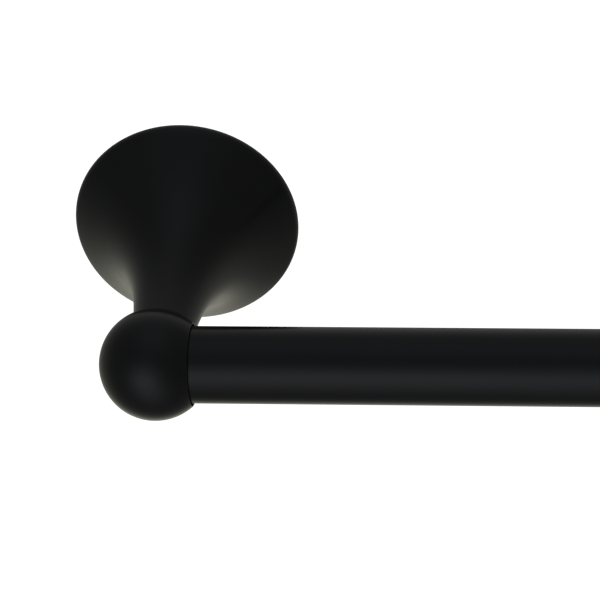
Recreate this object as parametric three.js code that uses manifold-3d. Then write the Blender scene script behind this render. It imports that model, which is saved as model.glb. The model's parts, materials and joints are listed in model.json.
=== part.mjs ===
// Curtain rod with two wall brackets: a straight round rod between the ball sockets of two bell-shaped posts.
// Millimetres. X runs along the rod, -Y points from the wall into the room and +Z is up. The wall's surface
// is the plane y = 0, and the origin lies on it, midway between the posts, at the height of the rod.
// A place on a bracket is given by u, along the rod from the post's axis, t, out from the wall, and z, up.
import * as THREE from "three";
import { mergeVertices } from "three/addons/utils/BufferGeometryUtils.js";
import Module from "manifold-3d";

const wasm = await Module();
wasm.setup();

// ---- Driving dimensions ----
const GAP = 0.3; // clearance between pieces that touch or screw into each other
const ROUND_SIDES = 36; // sides of the large round pieces
const SCREW_SIDES = 16; // sides of the fasteners
const RIM_STEPS = 4; // steps of the rim's back quarter; its front arc has half as many
const FLANK_STEPS = 10;
const CAVITY_STEPS = 6;
const BALL_STEPS = 11;
const PAST = 1; // how far a cutter runs past the surface that it cuts

const POST_SPACING = 609.6; // between the two post axes
const ROD_HEIGHT = 67.6; // from the wall to the rod's axis
const ROD_RADIUS = 9.525;
const TUBE_WALL = 0.9;

// The bell's outside radius falls from the flange towards the neck as a stretched exponential of t.
const FLANGE_RADIUS = 29;
const RIM_ROUND = 2.8; // radius of the flange's rounded rim
const RIM_END_ANGLE = (42 * Math.PI) / 180; // where the rim's arc runs into the flank
const NECK_LIMIT = 7.02; // the radius that the flank tends to
const FLARE_LENGTH = 20;
const FLARE_POWER = 1.3;
const SEAT_T = 55.9; // where the ball's flat seat meets the neck
const BELL_WALL = 2; // casting thickness, measured radially
const BELL_FRONT_WALL = 2.2; // casting thickness, measured along the post
const CAVITY_RADIUS = 23.6; // the opening in the flange's back
const CAVITY_MOUTH_T = 5.5; // where the straight opening turns into the inside of the flank
const SCREW_SEAT_T = 37.6; // floor of the cavity, which the post screw pulls on

const BALL_RADIUS = 13.9;
const MOUTH_U = 9.3; // plane of the socket's mouth, from the post axis
const BORE_RADIUS = 9.9;
const BORE_DEPTH = 14.3;
const COUNTERSINK = { radius: 10.15, depth: 1.2 }; // widens the socket's mouth, to lead the rod in
const SPIGOT_RADIUS = 4.5; // the ball's centring spigot, which enters the neck
const SPIGOT_LENGTH = 5.9;

const PLATE_BACK_RADIUS = 18.8;
const PLATE_FRONT_RADIUS = 21;
const PLATE_THICKNESS = 6.5;
const PLATE_BEVEL = [1.5, 4.5]; // where the undercut edge starts and ends, from the wall
const PLATE_POCKET = { radius: 16.2, depth: 3.8 }; // the plate's hollow back
const PLATE_BOSS_RADIUS = 4.8; // around each screw hole, inside the pocket
const PLATE_RIB = 1.8; // thickness of the upright and the level rib across the pocket
const WALL_SCREW_Z = 10; // height of the upper wall screw above the post axis; the lower one is as far below
const SLOT_TRAVEL = 3; // length by which the lower hole is stretched, for levelling

// point is the length of a screw's tapered end, and recess the depth of the cross in its head.
const WALL_SCREW = {
  radius: 2.1,
  length: 25,
  point: 5,
  pointRadius: 0.7,
  headRadius: 4,
  headHeight: 2.6,
  recess: 1.6,
};
const POST_SCREW = {
  radius: 2.2,
  length: 20,
  point: 0.8,
  pointRadius: 1.5,
  headRadius: 4.6,
  headHeight: 3.4,
  recess: 2,
};
const PAN_HEAD = [[1, 0], [1, 0.45], [0.8, 0.85], [0.45, 1], [0, 1]]; // in head radii and head heights
const CROSS = { reach: 0.55, halfWidth: 0.13 }; // the cross recess, in head radii
const WASHER = { inner: 2.7, outer: 4.5, thickness: 1.1, split: 1 };
const SET_SCREW = {
  radius: 2,
  length: 8,
  point: 1.6,
  pointRadius: 0.4,
  socket: 1.15,
  socketDepth: 2.5,
  socketSides: 6,
};
const SET_SCREW_T = 3.2; // the set screw's axis, from the wall
const SET_SCREW_TIP_Z = -20.6;
const ANCHOR = {
  radius: 3.3,
  length: 22,
  tipRadius: 2.4,
  taper: 3,
  collarRadius: 4.2,
  collar: 1.2,
  slot: 1.2, // width of the slot that parts the far end in two
  slotStart: 8,
  boreDepth: 19.5,
};

const LUG_ROOT_RADIUS = CAVITY_RADIUS + 1.2; // how far the lugs inside the rim reach into its wall
const HOOK = { halfWidth: 8, tipZ: 20.3, from: 0.8, to: 2.8 }; // catches behind the plate's top edge
const BOSS = { radius: 4, t: 4.2, innerZ: -21.9 }; // carries the set screw's thread

const PLUG = { head: 1.2, headRadius: 9.2, depth: 11, wall: 1.4 };
const ROD_END_CLEARANCE = GAP; // between the rod's end plug and the bottom of its socket

// ---- Materials ----
function finish(color, roughness, metalness) {
  return () => new THREE.MeshStandardMaterial({ color, roughness, metalness });
}
const blackCoat = finish(0x191a1b, 0.45, 0.2);
const castZinc = finish(0xa3a5a6, 0.5, 0.8);
const platedSteel = finish(0xb4b6b8, 0.35, 0.9);
const blackenedSteel = finish(0x2a2a2c, 0.4, 0.8);
const greyNylon = finish(0xc9cac6, 0.6, 0);

// ---- Helpers ----

// A named sub-part from a geometry.
function piece(name, geometry, material) {
  const mesh = new THREE.Mesh(geometry, material());
  mesh.name = name;
  return mesh;
}

// A geometry as a solid that can be joined and cut.
function solid(geometry) {
  const bare = geometry.clone();
  bare.deleteAttribute("normal");
  bare.deleteAttribute("uv");
  const merged = mergeVertices(bare, 1e-4);
  return new wasm.Manifold(
    new wasm.Mesh({
      numProp: 3,
      vertProperties: new Float32Array(merged.attributes.position.array),
      triVerts: new Uint32Array(merged.index.array),
    }),
  );
}

// A solid's surface as a geometry.
function surface(body) {
  const { vertProperties, triVerts } = body.getMesh();
  const geometry = new THREE.BufferGeometry();
  geometry.setAttribute("position", new THREE.BufferAttribute(vertProperties, 3));
  geometry.setIndex(new THREE.BufferAttribute(triVerts, 1));
  geometry.computeVertexNormals();
  return geometry;
}

// A body of revolution about the post axis, from its [radius, t] outline. Half a turn about Z takes the
// lathe's +Y to -Y, out of the wall.
function lathe(outline, sides) {
  const points = outline.map(([radius, t]) => new THREE.Vector2(radius, t));
  return new THREE.LatheGeometry(points, sides).rotateZ(Math.PI);
}

// A body of revolution about the rod's axis, from its outline of radii and distances along the rod.
function rodLathe(outline) {
  const points = outline.map(([radius, along]) => new THREE.Vector2(radius, along));
  return new THREE.LatheGeometry(points, ROUND_SIDES).rotateZ(-Math.PI / 2).translate(0, -ROD_HEIGHT, 0);
}

// A ring-shaped outline comes back to its first point.
function closed(outline) {
  return [...outline, outline[0]];
}

// A round bar between two t values on an axis parallel to the post's, at height z.
function bar(radius, from, to, z = 0) {
  return lathe([[0, from], [radius, from], [radius, to], [0, to]], SCREW_SIDES).translate(0, 0, z);
}

// An upright round bar at distance t from the wall, between two heights.
function stud(radius, t, low, high, sides = SCREW_SIDES) {
  const upright = new THREE.CylinderGeometry(radius, radius, high - low, sides);
  return upright.rotateX(Math.PI / 2).translate(0, -t, (low + high) / 2);
}

// A box between two corners given as [u, t, z].
function block(low, high) {
  const size = high.map((value, i) => value - low[i]);
  const middle = high.map((value, i) => (value + low[i]) / 2);
  return new THREE.BoxGeometry(...size).translate(middle[0], -middle[1], middle[2]);
}

// Points of a circular arc about (radius, t), in the lathe's outline plane.
function arc([radius, t], size, fromAngle, toAngle, steps) {
  const points = [];
  for (let i = 0; i <= steps; i++) {
    const angle = fromAngle + ((toAngle - fromAngle) * i) / steps;
    points.push([radius + size * Math.cos(angle), t + size * Math.sin(angle)]);
  }
  return points;
}

// ---- The bell's outline ----
const rimCentre = [FLANGE_RADIUS - RIM_ROUND, RIM_ROUND];
const rimEnd = [
  rimCentre[0] + RIM_ROUND * Math.cos(RIM_END_ANGLE),
  rimCentre[1] + RIM_ROUND * Math.sin(RIM_END_ANGLE),
];

function flare(t) {
  return Math.exp(-((t / FLARE_LENGTH) ** FLARE_POWER));
}

// The bell's outside radius at t, scaled so that the flank meets the end of the rim's arc.
function bellRadius(t) {
  return NECK_LIMIT + ((rimEnd[0] - NECK_LIMIT) * flare(t)) / flare(rimEnd[1]);
}

function cavityRadius(t) {
  return Math.min(CAVITY_RADIUS, bellRadius(t + BELL_FRONT_WALL) - BELL_WALL);
}

// Points of a radius that varies with t, between two t values.
function curve(radiusAt, from, to, steps) {
  const points = [];
  for (let i = 0; i <= steps; i++) {
    const t = from + ((to - from) * i) / steps;
    points.push([radiusAt(t), t]);
  }
  return points;
}

// ---- Pieces of one bracket, in its own frame ----

// The hollow casting: flange, flank and neck, with a hook and a screw boss inside its rim.
function postGeometry() {
  const neckEnd = SEAT_T - GAP;
  const spigotFloor = SEAT_T - SPIGOT_LENGTH - GAP;
  const spigotHole = SPIGOT_RADIUS + GAP;
  const screwHole = POST_SCREW.radius + 2 * GAP;
  const shell = lathe(
    closed([
      [CAVITY_RADIUS, 0],
      ...arc(rimCentre, RIM_ROUND, -Math.PI / 2, 0, RIM_STEPS),
      ...arc(rimCentre, RIM_ROUND, 0, RIM_END_ANGLE, RIM_STEPS / 2).slice(1),
      ...curve(bellRadius, rimEnd[1], neckEnd, FLANK_STEPS).slice(1),
      [spigotHole, neckEnd],
      [spigotHole, spigotFloor],
      [screwHole, spigotFloor],
      [screwHole, SCREW_SEAT_T],
      ...curve(cavityRadius, CAVITY_MOUTH_T, SCREW_SEAT_T, CAVITY_STEPS).reverse(),
    ]),
    ROUND_SIDES,
  );
  const hook = block([-HOOK.halfWidth, HOOK.from, HOOK.tipZ], [HOOK.halfWidth, HOOK.to, LUG_ROOT_RADIUS]);
  const boss = stud(BOSS.radius, BOSS.t, -LUG_ROOT_RADIUS, BOSS.innerZ);
  const hole = stud(SET_SCREW.radius + GAP, SET_SCREW_T, -FLANGE_RADIUS - PAST, BOSS.innerZ + PAST);
  return surface(solid(shell).add(solid(hook)).add(solid(boss)).subtract(solid(hole)));
}

// The ball: a socket for the rod on one side, a flat seat and a tapped spigot towards the neck.
function ballGeometry() {
  const seatAngle = Math.asin((SEAT_T - ROD_HEIGHT) / BALL_RADIUS);
  const spigotEnd = SEAT_T - SPIGOT_LENGTH;
  const ball = lathe(
    [
      [0, spigotEnd],
      [SPIGOT_RADIUS, spigotEnd],
      [SPIGOT_RADIUS, SEAT_T],
      ...arc([0, ROD_HEIGHT], BALL_RADIUS, seatAngle, Math.PI / 2, BALL_STEPS).slice(0, -1),
      [0, ROD_HEIGHT + BALL_RADIUS],
    ],
    ROUND_SIDES,
  );
  const socketOutline = [
    [0, MOUTH_U - BORE_DEPTH],
    [BORE_RADIUS, MOUTH_U - BORE_DEPTH],
    [BORE_RADIUS, MOUTH_U - COUNTERSINK.depth],
    [COUNTERSINK.radius, MOUTH_U],
    [COUNTERSINK.radius, MOUTH_U + PAST],
    [0, MOUTH_U + PAST],
  ];
  const socket = rodLathe(socketOutline);
  const mouth = block(
    [MOUTH_U, ROD_HEIGHT - BALL_RADIUS - PAST, -BALL_RADIUS - PAST],
    [BALL_RADIUS + PAST, ROD_HEIGHT + BALL_RADIUS + PAST, BALL_RADIUS + PAST],
  );
  const tapping = bar(POST_SCREW.radius + GAP, spigotEnd - PAST, ROD_HEIGHT - BORE_RADIUS + 2 * PAST);
  return surface(solid(ball).subtract(solid(socket)).subtract(solid(mouth)).subtract(solid(tapping)));
}

// A bar along the post axis at each screw place. The lower one is stretched upwards and downwards.
function screwPlaces(radius, from, to) {
  const low = -WALL_SCREW_Z - SLOT_TRAVEL / 2;
  const high = -WALL_SCREW_Z + SLOT_TRAVEL / 2;
  return [
    bar(radius, from, to, WALL_SCREW_Z),
    bar(radius, from, to, low),
    bar(radius, from, to, high),
    block([-radius, from, low], [radius, to, high]),
  ];
}

// The plate that is screwed to the wall. Its edge is undercut, so that the post hooks behind it, and its back
// is hollow, with a boss around each screw and two crossing ribs.
function plateGeometry() {
  const disc = lathe(
    [
      [0, 0],
      [PLATE_BACK_RADIUS, 0],
      [PLATE_BACK_RADIUS, PLATE_BEVEL[0]],
      [PLATE_FRONT_RADIUS, PLATE_BEVEL[1]],
      [PLATE_FRONT_RADIUS, PLATE_THICKNESS],
      [0, PLATE_THICKNESS],
    ],
    ROUND_SIDES,
  );
  const { radius, depth } = PLATE_POCKET;
  const kept = [
    ...screwPlaces(PLATE_BOSS_RADIUS, -2 * PAST, depth + PAST),
    block([-PLATE_RIB / 2, -2 * PAST, -radius - PAST], [PLATE_RIB / 2, depth + PAST, radius + PAST]),
    block([-radius - PAST, -2 * PAST, -PLATE_RIB / 2], [radius + PAST, depth + PAST, PLATE_RIB / 2]),
  ];
  const pocket = kept.reduce((body, part) => body.subtract(solid(part)), solid(bar(radius, -PAST, depth)));
  const holes = screwPlaces(WALL_SCREW.radius + GAP, -PAST, PLATE_THICKNESS + PAST);
  return surface(holes.reduce((body, hole) => body.subtract(solid(hole)), solid(disc).subtract(pocket)));
}

// A pan-head screw along the post axis: its head faces the room, or the wall when facing is -1.
function screwGeometry(size, underHead, facing) {
  const at = (distance) => underHead + facing * distance;
  const outline = [
    [0, at(-size.length)],
    [size.pointRadius, at(-size.length)],
    [size.radius, at(-size.length + size.point)],
    [size.radius, at(0)],
    ...PAN_HEAD.map(([radius, height]) => [radius * size.headRadius, at(height * size.headHeight)]),
  ];
  const body = lathe(facing > 0 ? outline : outline.reverse(), SCREW_SIDES);
  const long = CROSS.reach * size.headRadius;
  const thin = CROSS.halfWidth * size.headRadius;
  const [low, high] = [at(size.headHeight - size.recess), at(size.headHeight + PAST)].sort((a, b) => a - b);
  const flat = block([-long, low, -thin], [long, high, thin]);
  const upright = block([-thin, low, -long], [thin, high, long]);
  return surface(solid(body).subtract(solid(flat)).subtract(solid(upright)));
}

// The split spring washer under the post screw's head.
function washerGeometry() {
  const front = SCREW_SEAT_T - GAP;
  const back = front - WASHER.thickness;
  const ring = lathe(
    closed([
      [WASHER.inner, back],
      [WASHER.outer, back],
      [WASHER.outer, front],
      [WASHER.inner, front],
    ]),
    SCREW_SIDES,
  );
  const split = block(
    [0, back - PAST, -WASHER.split / 2],
    [WASHER.outer + PAST, front + PAST, WASHER.split / 2],
  );
  return surface(solid(ring).subtract(solid(split)));
}

// The expanding wall plug: a collar, a bore for the screw, and a slot that parts its far end in two.
function anchorGeometry() {
  const start = -GAP;
  const end = start - ANCHOR.length;
  const bore = WALL_SCREW.radius + GAP;
  const boreEnd = start - ANCHOR.boreDepth;
  const body = lathe(
    [
      [0, end],
      [ANCHOR.tipRadius, end],
      [ANCHOR.radius, end + ANCHOR.taper],
      [ANCHOR.radius, start - ANCHOR.collar],
      [ANCHOR.collarRadius, start - ANCHOR.collar / 2],
      [ANCHOR.collarRadius, start],
      [bore, start],
      [bore, boreEnd],
      [0, boreEnd],
    ],
    SCREW_SIDES,
  );
  const slot = block(
    [-ANCHOR.radius - PAST, end - PAST, -ANCHOR.slot / 2],
    [ANCHOR.radius + PAST, start - ANCHOR.slotStart, ANCHOR.slot / 2],
  );
  return surface(solid(body).subtract(solid(slot)));
}

// The headless set screw, upright under the flange: a hex socket below and a cone point above.
function setScrewGeometry() {
  const bottom = SET_SCREW_TIP_Z - SET_SCREW.length;
  const outline = [
    [0, bottom],
    [SET_SCREW.radius, bottom],
    [SET_SCREW.radius, SET_SCREW_TIP_Z - SET_SCREW.point],
    [SET_SCREW.pointRadius, SET_SCREW_TIP_Z],
    [0, SET_SCREW_TIP_Z],
  ];
  const points = outline.map(([radius, z]) => new THREE.Vector2(radius, z));
  const body = new THREE.LatheGeometry(points, SCREW_SIDES);
  body.rotateX(Math.PI / 2).translate(0, -SET_SCREW_T, 0);
  const socketTop = bottom + SET_SCREW.socketDepth;
  const socket = stud(SET_SCREW.socket, SET_SCREW_T, bottom - PAST, socketTop, SET_SCREW.socketSides);
  return surface(solid(body).subtract(solid(socket)));
}

// One bracket. The ball is the same casting on both sides, turned half round on the right.
function bracket(side) {
  const group = new THREE.Group();
  const ball = piece(`${side}_ball_socket`, ballGeometry(), blackCoat);
  ball.rotation.y = side === "right" ? Math.PI : 0;
  const washerBack = SCREW_SEAT_T - 2 * GAP - WASHER.thickness;
  group.add(
    piece(`${side}_post`, postGeometry(), blackCoat),
    ball,
    piece(`${side}_post_screw`, screwGeometry(POST_SCREW, washerBack, -1), platedSteel),
    piece(`${side}_post_lock_washer`, washerGeometry(), platedSteel),
    piece(`${side}_wall_plate`, plateGeometry(), castZinc),
    piece(`${side}_set_screw`, setScrewGeometry(), blackenedSteel),
  );
  for (const [row, z] of [["upper", WALL_SCREW_Z], ["lower", -WALL_SCREW_Z]]) {
    const screw = screwGeometry(WALL_SCREW, PLATE_THICKNESS + GAP, 1).translate(0, 0, z);
    group.add(
      piece(`${side}_${row}_wall_screw`, screw, platedSteel),
      piece(`${side}_${row}_wall_anchor`, anchorGeometry().translate(0, 0, z), greyNylon),
    );
  }
  group.position.x = (side === "right" ? 0.5 : -0.5) * POST_SPACING;
  return group;
}

// ---- The rod, in the whole part's frame ----

// Distance from the middle to the bottom of either socket.
const SOCKET_FLOOR = POST_SPACING / 2 - MOUTH_U + BORE_DEPTH;

function tubeGeometry() {
  const half = SOCKET_FLOOR - ROD_END_CLEARANCE - PLUG.head - GAP;
  const inner = ROD_RADIUS - TUBE_WALL;
  return rodLathe(closed([[inner, -half], [ROD_RADIUS, -half], [ROD_RADIUS, half], [inner, half]]));
}

// The push-in plug that closes the tube's right end. It is a cup, open towards the tube's middle.
function plugGeometry() {
  const face = SOCKET_FLOOR - ROD_END_CLEARANCE;
  const shoulder = face - PLUG.head;
  const stem = ROD_RADIUS - TUBE_WALL - GAP;
  return rodLathe([
    [0, shoulder],
    [stem - PLUG.wall, shoulder],
    [stem - PLUG.wall, face - PLUG.depth],
    [stem, face - PLUG.depth],
    [stem, shoulder],
    [PLUG.headRadius, shoulder],
    [PLUG.headRadius, face],
    [0, face],
  ]);
}

const leftPlug = piece("left_rod_end_plug", plugGeometry(), greyNylon);
leftPlug.rotation.z = Math.PI;
leftPlug.position.y = -2 * ROD_HEIGHT;

// ---- Assembly ----
const curtainRod = new THREE.Group();
curtainRod.add(
  bracket("left"),
  bracket("right"),
  piece("rod_tube", tubeGeometry(), blackCoat),
  piece("right_rod_end_plug", plugGeometry(), greyNylon),
  leftPlug,
);

export default curtainRod;
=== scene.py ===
"""Looks of the curtain rod with its two wall brackets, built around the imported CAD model.

Each CAD node is replaced by a finely made piece of the same size in the same place. Shapes are described
in millimetres: t is the distance out from the wall, u runs from a post's axis along the rod towards its
middle, and z is up. A bracket's pieces are made about the point of the wall behind its post's axis, and the
rod's about the point of the wall behind its middle. finish_piece() then brings each piece into the part's
own frame, in metres.
"""

import json
import math

import bmesh
import bpy
from mathutils import Matrix, Vector

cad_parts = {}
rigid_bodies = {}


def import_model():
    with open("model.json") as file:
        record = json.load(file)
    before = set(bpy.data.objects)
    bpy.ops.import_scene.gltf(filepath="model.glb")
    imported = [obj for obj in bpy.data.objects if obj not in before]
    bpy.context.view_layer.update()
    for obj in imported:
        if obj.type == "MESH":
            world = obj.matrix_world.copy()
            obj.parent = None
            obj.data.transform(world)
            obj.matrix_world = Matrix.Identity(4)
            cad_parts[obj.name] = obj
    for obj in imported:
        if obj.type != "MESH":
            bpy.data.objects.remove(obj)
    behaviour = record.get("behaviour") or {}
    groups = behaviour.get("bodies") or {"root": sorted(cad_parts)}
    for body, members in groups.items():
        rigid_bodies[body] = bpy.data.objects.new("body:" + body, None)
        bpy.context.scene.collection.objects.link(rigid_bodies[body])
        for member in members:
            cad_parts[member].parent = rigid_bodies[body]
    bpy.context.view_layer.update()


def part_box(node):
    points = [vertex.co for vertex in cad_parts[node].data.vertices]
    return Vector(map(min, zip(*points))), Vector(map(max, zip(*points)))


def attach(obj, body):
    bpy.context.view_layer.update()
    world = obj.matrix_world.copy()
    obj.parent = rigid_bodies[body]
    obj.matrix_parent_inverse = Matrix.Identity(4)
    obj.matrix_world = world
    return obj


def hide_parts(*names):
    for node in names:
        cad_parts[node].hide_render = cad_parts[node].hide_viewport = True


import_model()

MM = 0.001
SIDES = ("left", "right")

# ---- Places and sizes taken from the frame ----


def middle(node):
    low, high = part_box(node)
    return (Vector(low) + Vector(high)) / 2


def extent(node):
    low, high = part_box(node)
    return Vector(high) - Vector(low)


POST_X = {side: middle(f"{side}_post").x for side in SIDES}
ROD_HEIGHT = -middle("rod_tube").y / MM
ROD_RADIUS = extent("rod_tube").z / 2 / MM
ROD_HALF_LENGTH = extent("rod_tube").x / 2 / MM
FLANGE_RADIUS = extent("left_post").x / 2 / MM

# ---- Sizes in millimetres ----

# The bell's outside radius falls from the flange towards the neck as a stretched exponential of t.
RIM_ROUND = 2.8  # radius of the flange's rounded rim
RIM_END_ANGLE = math.radians(42)  # where the rim's arc runs into the flank
NECK_LIMIT = 7.02  # the radius that the flank tends to
FLARE_LENGTH = 20
FLARE_POWER = 1.3
SEAT_T = 55.9  # where the ball's flat seat meets the neck
SEAM = 0.08  # the hairline between them
BELL_WALL = 2  # casting thickness, measured radially
BELL_FRONT_WALL = 2.2  # casting thickness, measured along the post
CAVITY_RADIUS = 23.6  # the opening in the flange's back
CAVITY_MOUTH_T = 5.5  # where the straight opening turns into the inside of the flank
CAVITY_CORNER = 1  # how far short of the cavity's floor the inside of the flank stops
SCREW_SEAT_T = 37.6  # floor of the cavity, which the post screw pulls on
POST_SCREW_HOLE = 2.8
LUG_ROOT_RADIUS = CAVITY_RADIUS + 1.2  # how far the lugs inside the rim reach into its wall
HOOK = {"half_width": 8, "tip_z": 20.3, "start": 0.8, "end": 2.8}
BOSS = {"radius": 4, "t": 4.2, "inner": 21.9}

BALL_RADIUS = 13.9
MOUTH_U = 9.3  # plane of the socket's mouth, from the post axis
BORE_RADIUS = 9.9
BORE_DEPTH = 14.3
LEAD_IN = {"radius": 10.15, "depth": 1.2}  # widens the mouth
LIP_ROOM = 0.02  # the part of the ball's arc, in radians, that the rounding of the lip takes up
SPIGOT = {"radius": 4.5, "length": 5.9, "clearance": 0.15, "end_clearance": 0.3, "tapping": 2.35}

PLATE = {
    "back": 18.8,
    "front": 21,
    "bevel": (1.5, 4.5),
    "thickness": 6.5,
    "rim": 17.5,
    "dish": 0.4,
    "pocket": 16.2,
    "pocket_depth": 3.8,
    "boss": 4.8,
    "rib": 1.8,
    "hole": 2.4,
}
WALL_SCREW_Z = 10  # height of the upper wall screw above the post axis; the lower one is as far below
SLOT_TRAVEL = 3  # length by which the lower hole is stretched, for levelling

# under is the t of the face under a screw's head, plain the length of its shank that has no thread, reach
# half the length of its cross recess, and blunt the share of the radius that is left at its point.
WALL_SCREW = {
    "under": 6.8,
    "radius": 2.1,
    "shank": 1.75,
    "length": 25,
    "plain": 4.8,
    "point": 6,
    "blunt": 0.12,
    "pitch": 1.8,
    "depth": 0.6,
    "head": 4,
    "height": 2.6,
    "recess": 1.6,
    "reach": 2.1,
}
POST_SCREW = {
    "under": SCREW_SEAT_T - 1.7,  # leaves room for the washer
    "radius": 2.2,
    "end": 1.7,
    "length": 20,
    "plain": 2,
    "pitch": 0.8,
    "depth": 0.45,
    "head": 4.6,
    "height": 3.4,
    "recess": 2,
    "reach": 2.4,
}
WASHER = {
    "inner": 2.7,
    "outer": 4.5,
    "thickness": 1.1,
    "rise": 0.35,
    "clearance": 0.1,
    "half_gap": math.radians(9),
}
DEEPEST_THREAD = 0.6  # no thread is cut deeper than this share of its radius
# A cross recess's half length at its mouth and on its floor, and its half width, as shares of its reach. The
# half width grows with the length.
RECESS = {"mouth": 1.1, "floor": 0.45, "half_width": 0.14, "widening": 0.1}

# Distances of the set screw and of its hole are measured down from the post's axis.
SET_SCREW_T = 3.2
SET_SCREW = {
    "tip": 20.6,
    "length": 8,
    "radius": 2,
    "point": 0.4,
    "cone": 1.6,
    "end": 1.7,
    "pitch": 0.7,
    "depth": 0.38,
    "socket": 1.15,
    "socket_depth": 2.1,
}
SET_SCREW_HOLE = {"radius": 2.15, "start": 18, "chamfer": 0.65}

ANCHOR = {
    "start": -0.3,
    "length": 22,
    "tip": 2.4,
    "barb": 3.3,
    "barb_root": 2.85,
    "barbs": 5,
    "barb_pitch": 2.4,
    "first_barb": 1.3,
    "barb_rise": 2,
    "barb_back": 0.7,
    "sleeve": 3.05,
    "collar": 4.2,
    "collar_root": 1.4,
    "collar_rim": 0.8,
    "bore": 2.3,
    "bore_mouth": 2,
    "bore_depth": 19.5,
    "slot": 1.2,
    "slot_start": 8.5,
    "fin": 3.8,
    "fin_width": 0.8,
    "fin_start": 1,
    "fin_length": 7,
}

TUBE_WALL = 0.9
TUBE_END = 2  # the plain stretches of the tube begin this far from its ends
TUBE_STRETCH = 40  # about how long each of them is
PLUG = {
    "face": ROD_HALF_LENGTH + 1.5,
    "head": 1.2,
    "radius": 9.2,
    "depth": 11,
    "wall": 1.4,
    "rib": 0.24,
    "ribs": 3,
    "rib_pitch": 2.6,
    "first_rib": 1,
    "rib_crest": (0.6, 1),
    "rib_length": 1.5,
}

# Corners are rounded to one of these sizes.
CRISP = 0.15
EASED = 0.3
ROUNDED = 0.5

PAST = 1  # how far a cutter runs past the surface that it cuts
SLIVER = 0.002  # edges and faces thinner than this are merged away

# How many steps go round each kind of piece, or along a curved stretch of an outline.
CASTING_STEPS = 160
LUG_STEPS = 64
SCREW_STEPS = 32
WASHER_STEPS = 72
RIM_STEPS = 20
FLANK_STEPS = 70
CAVITY_STEPS = 40
BALL_STEPS = 90
THREAD_RINGS = 12  # rings in one pitch of a thread

# ---- Frames that shapes are turned in: the third axis is the one that an outline runs along ----


def axes(x, y, z, origin=(0, 0, 0)):
    """The matrix whose columns are these axes and this origin."""
    matrix = Matrix((x, y, z)).transposed().to_4x4()
    matrix.translation = Vector(origin)
    return matrix


def turn(side):
    """1 on the left and -1 on the right, where u points the other way."""
    return 1 if side == "left" else -1


def post_frame(side, z=0):
    """u, z and t of a bracket. The right one is turned half round, so its z points down."""
    return axes((turn(side), 0, 0), (0, 0, turn(side)), (0, -1, 0), (0, 0, z))


def ball_frame(side):
    """About the rod's axis, from the post's axis towards the rod's middle."""
    return axes((0, 1, 0), (0, 0, turn(side)), (turn(side), 0, 0), (0, -ROD_HEIGHT, 0))


def rod_frame(side):
    """Out along the rod's axis from the middle of the rod towards one end."""
    return axes((0, -turn(side), 0), (0, 0, 1), (-turn(side), 0, 0), (0, -ROD_HEIGHT, 0))


def drop_frame(t=SET_SCREW_T):
    """Down from the post's axis, at a distance t from the wall."""
    return axes((1, 0, 0), (0, -1, 0), (0, 0, -1), (0, -t, 0))


# X, z and t, the same way up on both sides.
PLATE_FRAME = axes((1, 0, 0), (0, 0, 1), (0, -1, 0))


# ---- Outlines: lists of (radius, distance along the axis) ----


def arc(centre, size, start, end, steps):
    points = []
    for i in range(steps + 1):
        angle = start + (end - start) * i / steps
        points.append((centre[0] + size * math.cos(angle), centre[1] + size * math.sin(angle)))
    return points


def curve(radius_of, start, end, steps):
    """Points of a radius that varies with t, between two t values."""
    points = []
    for i in range(steps + 1):
        t = start + (end - start) * i / steps
        points.append((radius_of(t), t))
    return points


def spread(start, end, step):
    """Evenly spaced distances from start to end, about a step apart."""
    count = max(1, round((end - start) / step))
    return [start + (end - start) * i / count for i in range(count + 1)]


def eased(points, steps=4):
    """Corners given as (radius, along, size) are rounded to that size, and the others stay as they are. The
    rounding is a quadratic curve that takes less than half of either neighbouring edge."""
    out = []
    for i, point in enumerate(points):
        here = Vector(point[:2])
        if len(point) == 2:
            out.append(tuple(here))
            continue
        before = Vector(points[i - 1][:2]) - here
        after = Vector(points[(i + 1) % len(points)][:2]) - here
        start = here + before.normalized() * min(point[2], before.length * 0.45)
        end = here + after.normalized() * min(point[2], after.length * 0.45)
        for k in range(steps + 1):
            s = k / steps
            out.append(tuple(start * (1 - s) ** 2 + here * (2 * s * (1 - s)) + end * s**2))
    return out


# ---- Meshes ----


def add_piece(name, mesh_maker, place):
    """An object from a bmesh made in a frame's own axes."""
    bm = bmesh.new()
    mesh_maker(bm)
    bmesh.ops.remove_doubles(bm, verts=bm.verts, dist=SLIVER)
    bmesh.ops.transform(bm, matrix=place, verts=bm.verts)
    bmesh.ops.recalc_face_normals(bm, faces=bm.faces)
    mesh = bpy.data.meshes.new(name)
    bm.to_mesh(mesh)
    bm.free()
    piece = bpy.data.objects.new(name, mesh)
    bpy.context.scene.collection.objects.link(piece)
    return piece


def rings_to_faces(bm, rings, closed):
    """Faces between neighbouring rings of vertices. A ring of one vertex is a pole."""
    pairs = list(zip(rings, rings[1:]))
    if closed:
        pairs.append((rings[-1], rings[0]))
    for low, high in pairs:
        steps = max(len(low), len(high))
        for k in range(steps):
            after = (k + 1) % steps
            below = [low[k % len(low)], low[after % len(low)]]
            above = [high[after % len(high)], high[k % len(high)]]
            face = list(dict.fromkeys(below + above))
            if len(face) > 2:
                bm.faces.new(face)


def turned(name, outline, place, steps=CASTING_STEPS, radius_at=None):
    """A body of revolution. An outline that starts and ends on the axis is solid, and any other is a ring.
    radius_at(radius, along, angle) may vary the radius, as a thread does."""
    solid = outline[0][0] == 0

    def make(bm):
        rings = []
        for radius, along in outline:
            if radius == 0:
                rings.append([bm.verts.new((0, 0, along))])
                continue
            ring = []
            for k in range(steps):
                angle = math.tau * k / steps
                size = radius_at(radius, along, angle) if radius_at else radius
                ring.append(bm.verts.new((size * math.cos(angle), size * math.sin(angle), along)))
            rings.append(ring)
        rings_to_faces(bm, rings, closed=not solid)

    return add_piece(name, make, place)


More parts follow.
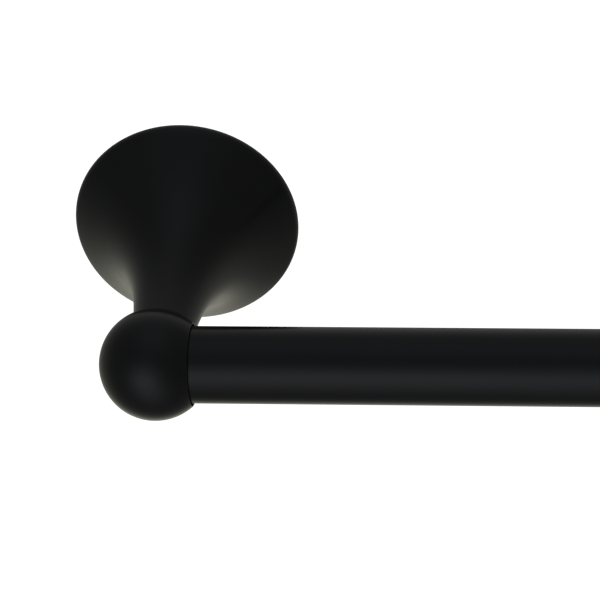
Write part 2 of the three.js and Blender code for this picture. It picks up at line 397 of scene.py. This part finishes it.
def block(name, low, high, place):
    """A box between two corners, in a frame's own axes."""

    def make(bm):
        bmesh.ops.create_cube(bm, size=1)
        for vert in bm.verts:
            vert.co = [low[i] if vert.co[i] < 0 else high[i] for i in range(3)]

    return add_piece(name, make, place)


def bar(name, radius, start, end, place, stretch=0):
    """A plain bar, for joining and cutting. Its section is a circle, or one stretched along the second axis
    into a slot's shape."""

    def make(bm):
        rings = []
        for along in (start, end):
            ring = []
            for k in range(LUG_STEPS):
                angle = math.tau * (k + 0.5) / LUG_STEPS
                across, up = radius * math.cos(angle), radius * math.sin(angle)
                ring.append(bm.verts.new((across, up + math.copysign(stretch / 2, up), along)))
            rings.append(ring)
            bm.faces.new(ring)
        rings_to_faces(bm, rings, closed=False)

    return add_piece(name, make, place)


def merge_slivers(mesh):
    """Closes up the edges and faces of next to no size that a cut leaves behind."""
    bm = bmesh.new()
    bm.from_mesh(mesh)
    bmesh.ops.remove_doubles(bm, verts=bm.verts, dist=SLIVER)
    bmesh.ops.dissolve_degenerate(bm, edges=bm.edges, dist=SLIVER)
    bm.to_mesh(mesh)
    bm.free()


def combine(piece, tools, operation):
    """Joins tools to the piece, or cuts them out of it, and removes them."""
    for tool in tools:
        step = piece.modifiers.new("combine", "BOOLEAN")
        step.operation = operation
        step.solver = "EXACT"
        step.object = tool
        evaluated = piece.evaluated_get(bpy.context.evaluated_depsgraph_get())
        mesh = bpy.data.meshes.new_from_object(evaluated)
        piece.modifiers.clear()
        piece.data = mesh
        bpy.data.objects.remove(tool)
        merge_slivers(mesh)


def smooth(piece, sharp_degrees=32):
    """Smooth shading that breaks at edges sharper than the angle."""
    bm = bmesh.new()
    bm.from_mesh(piece.data)
    for face in bm.faces:
        face.smooth = True
    for edge in bm.edges:
        edge.smooth = edge.calc_face_angle(math.pi) < math.radians(sharp_degrees)
    bm.to_mesh(piece.data)
    bm.free()


# ---- Materials ----


class Nodes:
    """A small helper to write the node tree of a material or a world in few lines."""

    def __init__(self, owner, shader="Principled BSDF"):
        owner.use_nodes = True
        self.owner = owner
        self.tree = owner.node_tree
        self.shader = self.tree.nodes[shader]

    def add(self, kind, values=None, **settings):
        node = self.tree.nodes.new(kind)
        for key, value in settings.items():
            setattr(node, key, value)
        for key, value in (values or {}).items():
            node.inputs[key].default_value = value
        return node

    def link(self, source, target):
        self.tree.links.new(source, target)

    def coordinates(self, stretch=(1, 1, 1)):
        place = self.add("ShaderNodeTexCoord")
        mapping = self.add("ShaderNodeMapping", {"Scale": stretch})
        self.link(place.outputs["Object"], mapping.inputs["Vector"])
        return mapping.outputs["Vector"]

    def noise(self, where, scale, detail):
        node = self.add("ShaderNodeTexNoise", {"Scale": scale, "Detail": detail})
        self.link(where, node.inputs["Vector"])
        return node.outputs["Fac"]

    def ramp(self, source, low, high):
        """Maps the middle of a noise's values to a range of numbers."""
        span = {"From Min": 0.3, "From Max": 0.7, "To Min": low, "To Max": high}
        node = self.add("ShaderNodeMapRange", span)
        self.link(source, node.inputs["Value"])
        return node.outputs["Result"]

    def blend(self, factor, first, second):
        """A colour between two, by a factor."""
        node = self.add("ShaderNodeMix", data_type="RGBA")
        colours = [socket for socket in node.inputs if socket.type == "RGBA"]
        colours[0].default_value = (*first, 1)
        colours[1].default_value = (*second, 1)
        self.link(factor, node.inputs["Factor"])
        return next(socket for socket in node.outputs if socket.type == "RGBA")

    def bump(self, height, distance, after=None):
        node = self.add("ShaderNodeBump", {"Strength": 1, "Distance": distance})
        self.link(height, node.inputs["Height"])
        if after:
            self.link(after, node.inputs["Normal"])
        return node.outputs["Normal"]


def material_nodes(name):
    return Nodes(bpy.data.materials.new(name))


def black_coat(name, stretch=(1, 1, 1)):
    """Satin black powder coat: a faint orange peel, and a little cloudiness in colour and gloss."""
    nodes = material_nodes(name)
    shader = nodes.shader.inputs
    where = nodes.coordinates(stretch)
    clouds = nodes.noise(where, 55, 4)
    colour = nodes.blend(clouds, (0.0058, 0.0066, 0.0072), (0.0082, 0.0090, 0.0096))
    nodes.link(colour, shader["Base Color"])
    nodes.link(nodes.ramp(clouds, 0.21, 0.27), shader["Roughness"])
    shader["IOR"].default_value = 1.5
    peel = nodes.bump(nodes.noise(where, 620, 3), 0.000008)
    nodes.link(nodes.bump(nodes.noise(where, 2600, 2), 0.000002, after=peel), shader["Normal"])
    return nodes.owner


def plated_steel(name):
    """Clear zinc plate over steel, with rolled streaks."""
    nodes = material_nodes(name)
    shader = nodes.shader.inputs
    streaks = nodes.noise(nodes.coordinates((1, 1, 22)), 180, 4)
    spangle = nodes.noise(nodes.coordinates(), 240, 3)
    nodes.link(nodes.blend(spangle, (0.44, 0.46, 0.48), (0.60, 0.61, 0.61)), shader["Base Color"])
    shader["Metallic"].default_value = 1
    nodes.link(nodes.ramp(streaks, 0.24, 0.40), shader["Roughness"])
    nodes.link(nodes.bump(streaks, 0.00001), shader["Normal"])
    return nodes.owner


def cast_zinc(name):
    """Tumbled die-cast zinc: dull grey, with a fine pebbled skin."""
    nodes = material_nodes(name)
    shader = nodes.shader.inputs
    where = nodes.coordinates()
    patches = nodes.noise(where, 130, 5)
    nodes.link(nodes.blend(patches, (0.26, 0.27, 0.285), (0.40, 0.41, 0.42)), shader["Base Color"])
    shader["Metallic"].default_value = 0.9
    nodes.link(nodes.ramp(patches, 0.40, 0.56), shader["Roughness"])
    pebbles = nodes.bump(nodes.noise(where, 900, 3), 0.00004)
    nodes.link(nodes.bump(patches, 0.00006, after=pebbles), shader["Normal"])
    return nodes.owner


def black_oxide(name):
    """Blackened steel with a trace of oil."""
    nodes = material_nodes(name)
    shader = nodes.shader.inputs
    where = nodes.coordinates()
    patches = nodes.noise(where, 500, 4)
    nodes.link(nodes.blend(patches, (0.02, 0.02, 0.022), (0.045, 0.044, 0.044)), shader["Base Color"])
    shader["Metallic"].default_value = 0.8
    nodes.link(nodes.ramp(patches, 0.3, 0.48), shader["Roughness"])
    nodes.link(nodes.bump(nodes.noise(where, 2500, 2), 0.00001), shader["Normal"])
    return nodes.owner


def grey_nylon(name):
    """Moulded nylon: slightly milky, with a fine spark-eroded grain."""
    nodes = material_nodes(name)
    shader = nodes.shader.inputs
    where = nodes.coordinates()
    flow = nodes.noise(where, 90, 3)
    nodes.link(nodes.blend(flow, (0.50, 0.50, 0.47), (0.60, 0.60, 0.57)), shader["Base Color"])
    nodes.link(nodes.ramp(flow, 0.42, 0.55), shader["Roughness"])
    shader["Subsurface Weight"].default_value = 0.15
    shader["Subsurface Radius"].default_value = (0.002, 0.002, 0.0018)
    nodes.link(nodes.bump(nodes.noise(where, 1800, 2), 0.00002), shader["Normal"])
    return nodes.owner


# Each finish is a material and the slot of the record that it stands for.
COAT = (black_coat("black_powder_coat"), "black_coat")
TUBE_COAT = (black_coat("black_powder_coat_on_tube", stretch=(0.35, 1, 1)), "black_coat")
ZINC = (plated_steel("clear_zinc_plate"), "plated_steel")
CAST_ZINC = (cast_zinc("cast_zinc"), "cast_zinc")
OXIDE = (black_oxide("black_oxide_steel"), "blackened_steel")
NYLON = (grey_nylon("grey_nylon"), "grey_nylon")


def finish_piece(piece, finish, node, side=None, body="brackets"):
    """Brings a piece into place, about one side's post or else about the rod's middle, and gives it its
    material and its body. It hides the CAD node that it stands for."""
    material, slot = finish
    origin = Matrix.Translation((POST_X[side] if side else 0, 0, 0))
    piece.data.transform(origin @ Matrix.Scale(MM, 4))
    smooth(piece)
    piece.data.materials.clear()
    piece.data.materials.append(material)
    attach(piece, body)
    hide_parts(node)


# ---- The castings ----

RIM_CENTRE = (FLANGE_RADIUS - RIM_ROUND, RIM_ROUND)
RIM_END = (
    RIM_CENTRE[0] + RIM_ROUND * math.cos(RIM_END_ANGLE),
    RIM_CENTRE[1] + RIM_ROUND * math.sin(RIM_END_ANGLE),
)


def flare(t):
    return math.exp(-((t / FLARE_LENGTH) ** FLARE_POWER))


def bell_radius(t):
    """The bell's outside radius at t, scaled so that the flank meets the end of the rim's arc."""
    return NECK_LIMIT + (RIM_END[0] - NECK_LIMIT) * flare(t) / flare(RIM_END[1])


def cavity_radius(t):
    return min(CAVITY_RADIUS, bell_radius(t + BELL_FRONT_WALL) - BELL_WALL)


def make_post(side):
    """The hollow bell with its hook and its boss for the set screw."""
    neck_end = SEAT_T - SEAM
    spigot_hole = SPIGOT["radius"] + SPIGOT["clearance"]
    spigot_floor = SEAT_T - SPIGOT["length"] - SPIGOT["end_clearance"]
    outline = eased(
        [
            (CAVITY_RADIUS, 0, ROUNDED),
            *arc(RIM_CENTRE, RIM_ROUND, -math.pi / 2, RIM_END_ANGLE, RIM_STEPS),
            *curve(bell_radius, RIM_END[1], neck_end - CRISP, FLANK_STEPS)[1:],
            (bell_radius(neck_end), neck_end, CRISP),
            (spigot_hole, neck_end, EASED),
            (spigot_hole, spigot_floor),
            (POST_SCREW_HOLE, spigot_floor, EASED),
            (POST_SCREW_HOLE, SCREW_SEAT_T, EASED),
            (cavity_radius(SCREW_SEAT_T), SCREW_SEAT_T, ROUNDED),
            *reversed(curve(cavity_radius, CAVITY_MOUTH_T, SCREW_SEAT_T - CAVITY_CORNER, CAVITY_STEPS)),
        ]
    )
    post = turned(f"{side}_post_casting", outline, post_frame(side))
    hook = block(
        "hook",
        (-HOOK["half_width"], HOOK["tip_z"], HOOK["start"]),
        (HOOK["half_width"], LUG_ROOT_RADIUS, HOOK["end"]),
        PLATE_FRAME,
    )
    boss = bar("boss", BOSS["radius"], BOSS["inner"], LUG_ROOT_RADIUS, drop_frame(BOSS["t"]))
    combine(post, [hook, boss], "UNION")
    hole, start = SET_SCREW_HOLE["radius"], SET_SCREW_HOLE["start"]
    chamfer = FLANGE_RADIUS - SET_SCREW_HOLE["chamfer"]
    wide, end = hole + SET_SCREW_HOLE["chamfer"] + PAST, FLANGE_RADIUS + PAST
    cutter = [(0, start), (hole, start), (hole, chamfer), (wide, end), (0, end)]
    combine(post, [turned("hole", cutter, drop_frame(), LUG_STEPS)], "DIFFERENCE")
    finish_piece(post, COAT, f"{side}_post", side)


def make_ball(side):
    """The ball: turned about the rod's axis, then cut and joined where it sits on the neck."""
    place = post_frame(side)
    mouth_angle = math.asin(MOUTH_U / BALL_RADIUS)
    outline = eased(
        [
            *arc((0, 0), BALL_RADIUS, -math.pi / 2, mouth_angle - LIP_ROOM, BALL_STEPS)[1:],
            (BALL_RADIUS * math.cos(mouth_angle), MOUTH_U, CRISP),
            (LEAD_IN["radius"], MOUTH_U, CRISP),
            (BORE_RADIUS, MOUTH_U - LEAD_IN["depth"]),
            (BORE_RADIUS, MOUTH_U - BORE_DEPTH, EASED),
            (0, MOUTH_U - BORE_DEPTH),
        ]
    )
    ball = turned(f"{side}_ball_casting", [(0, -BALL_RADIUS), *outline], ball_frame(side))
    combine(ball, [bar("behind_seat", BALL_RADIUS, SEAT_T - BALL_RADIUS, SEAT_T, place)], "DIFFERENCE")
    radius, end, root = SPIGOT["radius"], SEAT_T - SPIGOT["length"], SEAT_T + PAST
    spigot = eased([(0, end), (radius, end, EASED), (radius, root), (0, root)])
    combine(ball, [turned("spigot", spigot, place, LUG_STEPS)], "UNION")
    tapping = bar("tapping", SPIGOT["tapping"], end - PAST, ROD_HEIGHT - BORE_RADIUS + 2 * PAST, place)
    combine(ball, [tapping], "DIFFERENCE")
    finish_piece(ball, COAT, f"{side}_ball_socket", side)


# ---- Fasteners and small pieces ----


def thread(start, end, pitch, depth, sharpness=1.6):
    """How a turned radius varies along a threaded stretch. A higher sharpness gives a thinner ridge."""

    def radius_at(radius, along, angle):
        if not start < along < end:
            return radius
        phase = (along / pitch - angle / math.tau) % 1
        ridge = max(0.0, 1 - sharpness * abs(2 * phase - 1))
        fade = min(1.0, (along - start) / pitch, (end - along) / pitch)
        return radius - min(depth, radius * DEEPEST_THREAD) * (1 - ridge) * fade

    return radius_at


def pan_head(screw, facing):
    """The outline of a domed head, from its underside outwards, by shares of its radius and height. facing is
    1 where it faces the room and -1 where it faces the wall."""
    radius, under, height = screw["head"], screw["under"], screw["height"] * facing
    return [
        (radius, under, CRISP),
        (radius, under + height * 0.4, ROUNDED),
        (radius * 0.86, under + height * 0.8, ROUNDED),
        (radius * 0.5, under + height * 0.97),
        (0, under + height),
    ]


def cross_recess(screw, facing, place):
    """Two crossing wedges, which cut a cross that narrows towards its floor."""
    top = screw["under"] + facing * screw["height"]
    stations = (
        (top + facing * EASED, RECESS["mouth"]),
        (top - facing * screw["recess"], RECESS["floor"]),
    )
    wedges = []
    for swap in (False, True):

        def make(bm, swap=swap):
            ends = []
            for along, size in stations:
                long = screw["reach"] * size
                thin = screw["reach"] * (RECESS["half_width"] + RECESS["widening"] * size)
                corners = ((-long, -thin), (long, -thin), (long, thin), (-long, thin))
                ends.append([bm.verts.new((y, x, along) if swap else (x, y, along)) for x, y in corners])
            rings_to_faces(bm, ends, closed=False)
            for end in ends:
                bm.faces.new(end)

        wedges.append(add_piece("wedge", make, place))
    return wedges


def make_wall_screw(side, row, z):
    place = post_frame(side, z)
    under, radius = WALL_SCREW["under"], WALL_SCREW["radius"]
    tip = under - WALL_SCREW["length"]
    plain = under - WALL_SCREW["plain"]
    body = [(0, tip)]
    for along in spread(tip + CRISP, plain, WALL_SCREW["pitch"] / THREAD_RINGS):
        taper = min(1.0, (along - tip) / WALL_SCREW["point"])
        body.append((radius * max(WALL_SCREW["blunt"], math.sin(taper * math.pi / 2)), along))
    body += [(WALL_SCREW["shank"], plain + CRISP), (WALL_SCREW["shank"], under)]
    outline = eased([*body, *pan_head(WALL_SCREW, 1)])
    ridges = thread(tip, plain, WALL_SCREW["pitch"], WALL_SCREW["depth"], sharpness=2.4)
    screw = turned(f"{side}_{row}_wood_screw", outline, place, SCREW_STEPS, ridges)
    combine(screw, cross_recess(WALL_SCREW, 1, place), "DIFFERENCE")
    finish_piece(screw, ZINC, f"{side}_{row}_wall_screw", side)


def make_post_screw(side):
    """The machine screw that pulls the ball on to the neck. Its head faces the wall."""
    place = post_frame(side)
    under, radius, pitch = POST_SCREW["under"], POST_SCREW["radius"], POST_SCREW["pitch"]
    tip = under + POST_SCREW["length"]
    plain = under + POST_SCREW["plain"]
    turns = [(radius, along) for along in reversed(spread(plain, tip - pitch / 2, pitch / THREAD_RINGS))]
    body = [(0, tip), (POST_SCREW["end"], tip), *turns, (radius, under)]
    outline = eased([*body, *pan_head(POST_SCREW, -1)])
    ridges = thread(plain, tip - EASED, pitch, POST_SCREW["depth"])
    screw = turned(f"{side}_machine_screw", outline, place, SCREW_STEPS, ridges)
    combine(screw, cross_recess(POST_SCREW, -1, place), "DIFFERENCE")
    finish_piece(screw, ZINC, f"{side}_post_screw", side)


def make_lock_washer(side):
    """A split spring washer: one turn of a flat bar, with its ends apart. It is wound against the screw's
    thread, so that its ends bite when the screw turns back."""
    base = SCREW_SEAT_T - WASHER["clearance"] - WASHER["thickness"] - WASHER["rise"]
    section = [
        (WASHER["inner"], 0),
        (WASHER["outer"], 0),
        (WASHER["outer"], WASHER["thickness"]),
        (WASHER["inner"], WASHER["thickness"]),
    ]

    def make(bm):
        rings = []
        for k in range(WASHER_STEPS + 1):
            angle = WASHER["half_gap"] + (math.tau - 2 * WASHER["half_gap"]) * k / WASHER_STEPS
            lift = base + WASHER["rise"] * (1 - k / WASHER_STEPS)
            ring = []
            for radius, up in section:
                ring.append(bm.verts.new((radius * math.cos(angle), radius * math.sin(angle), lift + up)))
            rings.append(ring)
        rings_to_faces(bm, rings, closed=False)
        bm.faces.new(rings[0])
        bm.faces.new(rings[-1])

    washer = add_piece(f"{side}_spring_washer", make, post_frame(side))
    finish_piece(washer, ZINC, f"{side}_post_lock_washer", side)


def screw_places(name, radius, start, end):
    """Bars at the plate's two screw places. The lower one is stretched, as for a slot."""
    bars = []
    for z, stretch in ((WALL_SCREW_Z, 0), (-WALL_SCREW_Z, SLOT_TRAVEL)):
        place = PLATE_FRAME @ Matrix.Translation((0, z, 0))
        bars.append(bar(name, radius, start, end, place, stretch=stretch))
    return bars


def make_wall_plate(side):
    """The die-cast plate with its undercut edge, its hollow back, two bosses and crossing ribs."""
    thickness, dished = PLATE["thickness"], PLATE["thickness"] - PLATE["dish"]
    outline = eased(
        [
            (0, 0),
            (PLATE["back"], 0, EASED),
            (PLATE["back"], PLATE["bevel"][0], EASED),
            (PLATE["front"], PLATE["bevel"][1], EASED),
            (PLATE["front"], thickness, ROUNDED),
            (PLATE["rim"], thickness, ROUNDED),
            (PLATE["rim"] - ROUNDED, dished, ROUNDED),
            (0, dished),
        ]
    )
    plate = turned(f"{side}_cast_plate", outline, PLATE_FRAME)
    radius, depth, half = PLATE["pocket"], PLATE["pocket_depth"], PLATE["rib"] / 2
    pocket_outline = eased([(0, -PAST), (radius, -PAST), (radius, depth, ROUNDED), (0, depth)])
    pocket = turned("pocket", pocket_outline, PLATE_FRAME)
    low, high = -2 * PAST, depth + PAST
    kept = [
        *screw_places("boss", PLATE["boss"], low, high),
        block("upright_rib", (-half, -radius - PAST, low), (half, radius + PAST, high), PLATE_FRAME),
        block("level_rib", (-radius - PAST, -half, low), (radius + PAST, half, high), PLATE_FRAME),
    ]
    combine(pocket, kept, "DIFFERENCE")
    combine(plate, [pocket, *screw_places("hole", PLATE["hole"], -PAST, thickness + PAST)], "DIFFERENCE")
    finish_piece(plate, CAST_ZINC, f"{side}_wall_plate", side)


def make_anchor(side, row, z):
    """The nylon plug: a collar, a plain sleeve with two fins, and a barbed end split in two."""
    place = post_frame(side, z)
    start = ANCHOR["start"]
    end = start - ANCHOR["length"]
    bore_end = start - ANCHOR["bore_depth"]
    barbs = []
    for k in range(ANCHOR["barbs"]):
        foot = end + ANCHOR["first_barb"] + ANCHOR["barb_pitch"] * k
        barbs += [(ANCHOR["barb_root"], foot), (ANCHOR["barb"], foot + ANCHOR["barb_rise"])]
    outline = eased(
        [
            (0, end),
            (ANCHOR["tip"], end, ROUNDED),
            *barbs,
            (ANCHOR["sleeve"], barbs[-1][1] + ANCHOR["barb_back"]),
            (ANCHOR["sleeve"], start - ANCHOR["collar_root"]),
            (ANCHOR["collar"], start - ANCHOR["collar_rim"], CRISP),
            (ANCHOR["collar"], start, CRISP),
            (ANCHOR["bore"] + EASED, start, CRISP),
            (ANCHOR["bore"], start - ANCHOR["bore_mouth"]),
            (ANCHOR["bore"], bore_end),
            (0, bore_end),
        ]
    )
    anchor = turned(f"{side}_{row}_nylon_plug", outline, place, LUG_STEPS)
    fins = []
    fin_half, fin_top = ANCHOR["fin_width"] / 2, start - ANCHOR["fin_start"]
    for way in (-1, 1):
        low = (way * (ANCHOR["sleeve"] - EASED), -fin_half, fin_top - ANCHOR["fin_length"])
        fins.append(block("fin", low, (way * ANCHOR["fin"], fin_half, fin_top), place))
    combine(anchor, fins, "UNION")
    half, reach = ANCHOR["slot"] / 2, ANCHOR["collar"] + PAST
    slot = block("slot", (-reach, -half, end - PAST), (reach, half, start - ANCHOR["slot_start"]), place)
    combine(anchor, [slot], "DIFFERENCE")
    finish_piece(anchor, NYLON, f"{side}_{row}_wall_anchor", side)


def make_set_screw(side):
    """The headless screw under the flange: a cone point above, a hex socket below."""
    place = drop_frame()
    tip, radius, pitch = SET_SCREW["tip"], SET_SCREW["radius"], SET_SCREW["pitch"]
    end = tip + SET_SCREW["length"]
    cone_end = tip + SET_SCREW["cone"]
    turns = [(radius, along) for along in spread(cone_end, end - EASED, pitch / THREAD_RINGS)]
    outline = [(0, tip), (SET_SCREW["point"], tip), *turns, (SET_SCREW["end"], end), (0, end)]
    ridges = thread(cone_end - CRISP, end - CRISP, pitch, SET_SCREW["depth"])
    screw = turned(f"{side}_grub_screw", outline, place, SCREW_STEPS, ridges)
    socket, floor = SET_SCREW["socket"], end - SET_SCREW["socket_depth"]
    hexagon = [(0, floor - socket / 2), (socket, floor), (socket, end + PAST), (0, end + PAST)]
    combine(screw, [turned("socket", hexagon, place, 6)], "DIFFERENCE")
    finish_piece(screw, OXIDE, f"{side}_set_screw", side, body=f"{side}_set_screw")


def make_rod_plug(side):
    """The nylon plug in the rod's end: a thin head, and a cup with three crush ribs that grip the tube."""
    face = PLUG["face"]
    shoulder = face - PLUG["head"]
    bore = ROD_RADIUS - TUBE_WALL
    stem = bore - EASED
    rim = PLUG["radius"]
    foot = face - PLUG["depth"]
    crest = stem + PLUG["rib"]
    ribs = []
    for k in range(PLUG["ribs"]):
        start = foot + PLUG["first_rib"] + PLUG["rib_pitch"] * k
        ribs.append((stem, start))
        ribs += [(crest, start + along) for along in PLUG["rib_crest"]]
        ribs.append((stem, start + PLUG["rib_length"]))
    outline = eased(
        [
            (0, shoulder),
            (stem - PLUG["wall"], shoulder, EASED),
            (stem - PLUG["wall"], foot, CRISP),
            (stem - CRISP, foot, EASED),
            *ribs,
            (stem, shoulder),
            (rim, shoulder, CRISP),
            (rim, face, EASED),
            (0, face),
        ]
    )
    plug = turned(f"{side}_tube_plug", outline, rod_frame(side), LUG_STEPS)
    finish_piece(plug, NYLON, f"{side}_rod_end_plug", body="rod")


def make_rod():
    """The tube, with its cut ends slightly broken."""
    inner, half = ROD_RADIUS - TUBE_WALL, ROD_HALF_LENGTH
    outline = eased(
        [
            (inner, -half, EASED),
            (ROD_RADIUS, -half, EASED),
            *((ROD_RADIUS, along) for along in spread(TUBE_END - half, half - TUBE_END, TUBE_STRETCH)),
            (ROD_RADIUS, half, EASED),
            (inner, half, EASED),
        ]
    )
    rod = turned("round_tube", outline, rod_frame("right"))
    finish_piece(rod, TUBE_COAT, "rod_tube", body="rod")


for side in SIDES:
    make_post(side)
    make_ball(side)
    make_post_screw(side)
    make_lock_washer(side)
    make_wall_plate(side)
    make_set_screw(side)
    make_rod_plug(side)
    for row, z in (("upper", WALL_SCREW_Z), ("lower", -WALL_SCREW_Z)):
        make_wall_screw(side, row, z)
        make_anchor(side, row, z)
make_rod()

# ---- Camera, floor and light, in metres ----

CAMERA_FROM_POST = (0.1473, -0.8843, 0.56315)  # from the point of the wall behind the left post's axis
CAMERA_ANGLES = (7.703, 33.422, -3.89)  # yaw, pitch and roll, in degrees
SENSOR_WIDTH = 36  # this and the lens are in millimetres
LENS = 244.8
FLOOR_DEPTH = 5.5
FLOOR_HALF_WIDTH = 60
BACK_LIGHT = {"place": (0, 1.5, 0.3), "tilt": math.radians(-80), "width": 3, "watts": 60}
PLAIN_WHITE = 1.1  # over 1, so that nothing darker than white shows behind the object


def add_camera():
    """Stands above and in front of the left post, a little to its right, and leans slightly."""
    yaw, pitch, roll = (math.radians(angle) for angle in CAMERA_ANGLES)
    back = Vector((math.sin(yaw) * math.cos(pitch), -math.cos(yaw) * math.cos(pitch), math.sin(pitch)))
    level = Vector((math.cos(yaw), math.sin(yaw), 0))
    right = level * math.cos(roll) + back.cross(level) * math.sin(roll)
    data = bpy.data.cameras.new("camera")
    data.sensor_width = SENSOR_WIDTH
    data.lens = LENS
    data.clip_start = 0.01
    camera = bpy.data.objects.new("camera", data)
    camera.matrix_world = Matrix((right, back.cross(right), back)).transposed().to_4x4()
    camera.location = Vector((POST_X["left"], 0, 0)) + Vector(CAMERA_FROM_POST)
    bpy.context.scene.collection.objects.link(camera)
    bpy.context.scene.camera = camera


def add_floor():
    """A plain pale floor, far enough down for a camera to look at the object from below. Only the camera
    sees it, so it adds no light and takes no shadow."""
    bm = bmesh.new()
    bmesh.ops.create_grid(bm, x_segments=1, y_segments=1, size=FLOOR_HALF_WIDTH)
    mesh = bpy.data.meshes.new("floor")
    bm.to_mesh(mesh)
    bm.free()
    floor = bpy.data.objects.new("floor", mesh)
    floor.location = (0, 0, -FLOOR_DEPTH)
    bpy.context.scene.collection.objects.link(floor)
    nodes = material_nodes("pale_floor")
    nodes.shader.inputs["Base Color"].default_value = (0.9, 0.9, 0.9, 1)
    nodes.shader.inputs["Emission Color"].default_value = (1, 1, 1, 1)
    nodes.shader.inputs["Emission Strength"].default_value = 1
    floor.data.materials.append(nodes.owner)
    floor.visible_glossy = False
    floor.visible_diffuse = False
    floor.visible_shadow = False


def add_back_light():
    """A wide soft light behind the wall's plane. It falls only on the pieces of bare metal and nylon, which
    the posts hide from the room, so that they don't look black from behind."""
    data = bpy.data.lights.new("back_light", "AREA")
    data.size = BACK_LIGHT["width"]
    data.energy = BACK_LIGHT["watts"]
    light = bpy.data.objects.new("back_light", data)
    light.location = BACK_LIGHT["place"]
    light.rotation_euler = (BACK_LIGHT["tilt"], 0, 0)
    light.visible_camera = False
    bpy.context.scene.collection.objects.link(light)
    receivers = bpy.data.collections.new("lit_from_behind")
    lit = {finish[0] for finish in (ZINC, CAST_ZINC, NYLON)}
    for piece in bpy.context.scene.objects:
        if piece.type == "MESH" and lit.intersection(piece.data.materials):
            receivers.objects.link(piece)
    light.light_linking.receiver_collection = receivers


# The room's light, as soft lobes: azimuth and elevation in degrees, tightness, strength and tint.
# Azimuth 0 is straight into the wall, 90 is to the right and 180 is out into the room.
# A tightness of 0 is the same from all round.
NEUTRAL = (1, 1, 1)
COOL = (0.95, 1, 1.15)
WARM = (1, 1, 0.8)
LOBES = [
    (0, 90, 0, 0.1, NEUTRAL),  # even light from all round
    (0, 90, 6, 0.1, COOL),  # overhead
    (-165, 0, 9, 0.4, COOL),  # in front, level
    (180, -30, 9, 0.15, NEUTRAL),  # in front, low
    (0, 15, 6, 0.15, NEUTRAL),  # behind, level
    (-15, -50, 12, 0.5, WARM),  # behind, low
    (-60, -30, 9, 0.1, WARM),  # low on the left
    (60, -30, 9, 0.1, WARM),  # low on the right
]


def add_lobe(nodes, place, azimuth, elevation, tightness, strength, tint):
    """strength * tint * exp(tightness * (cosine - 1)), with the angle taken from the lobe's middle."""
    a, e = math.radians(azimuth), math.radians(elevation)
    towards = Vector((math.sin(a) * math.cos(e), math.cos(a) * math.cos(e), math.sin(e)))
    cosine = nodes.add("ShaderNodeVectorMath", {1: towards}, operation="DOT_PRODUCT")
    nodes.link(place, cosine.inputs[0])
    power = nodes.add("ShaderNodeMath", {1: tightness, 2: -tightness}, operation="MULTIPLY_ADD")
    nodes.link(cosine.outputs["Value"], power.inputs[0])
    bell = nodes.add("ShaderNodeMath", operation="EXPONENT")
    nodes.link(power.outputs[0], bell.inputs[0])
    colour = nodes.add("ShaderNodeVectorMath", {0: strength * Vector(tint)}, operation="SCALE")
    nodes.link(bell.outputs[0], colour.inputs["Scale"])
    return colour.outputs[0]


def add_world():
    """The room's light, and plain white where the camera looks past the object."""
    nodes = Nodes(bpy.data.worlds.new("studio"), "Background")
    bpy.context.scene.world = nodes.owner
    place = nodes.add("ShaderNodeTexCoord").outputs["Generated"]
    total = None
    for lobe in LOBES:
        light = add_lobe(nodes, place, *lobe)
        if total:
            both = nodes.add("ShaderNodeVectorMath")
            nodes.link(total, both.inputs[0])
            nodes.link(light, both.inputs[1])
            light = both.outputs[0]
        total = light
    seen = nodes.add("ShaderNodeLightPath").outputs["Is Camera Ray"]
    white = nodes.add("ShaderNodeMix", data_type="RGBA")
    colours = [socket for socket in white.inputs if socket.type == "RGBA"]
    nodes.link(seen, white.inputs["Factor"])
    nodes.link(total, colours[0])
    colours[1].default_value = (PLAIN_WHITE, PLAIN_WHITE, PLAIN_WHITE, 1)
    shown = next(socket for socket in white.outputs if socket.type == "RGBA")
    nodes.link(shown, nodes.shader.inputs["Color"])


add_camera()
add_floor()
add_back_light()
add_world()
bpy.context.scene.view_settings.view_transform = "Standard"
